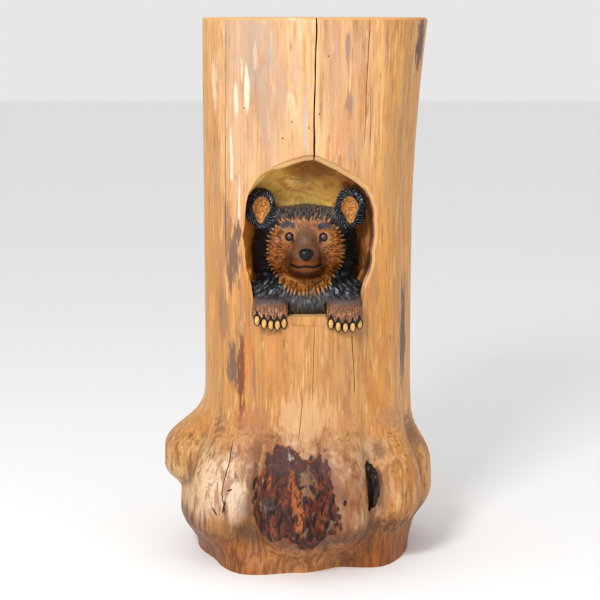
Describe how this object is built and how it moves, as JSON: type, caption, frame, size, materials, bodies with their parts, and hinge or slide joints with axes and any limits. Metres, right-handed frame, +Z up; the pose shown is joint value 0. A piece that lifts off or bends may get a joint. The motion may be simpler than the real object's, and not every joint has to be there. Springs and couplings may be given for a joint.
{
  "type": "chainsaw carved bear",
  "caption": "Standing length of varnished pine log with a burl round its foot and a niche cut in its front, where a carved black bear looks out with its paws hung over the sill.",
  "frame": {"origin": "middle of the log's sawn underside, on the floor", "axes": "+Z up along the log, the carved front faces -Y, +X is on the right for someone who looks at the front"},
  "size_m": [0.6089, 0.5971, 1.2],
  "materials": {
    "varnished_pine": "satin varnish; the bear is painted black, brown and tan under it"
  },
  "bodies": {
    "root": {"carved_bear_log": "varnished_pine"}
  },
  "joints": []
}
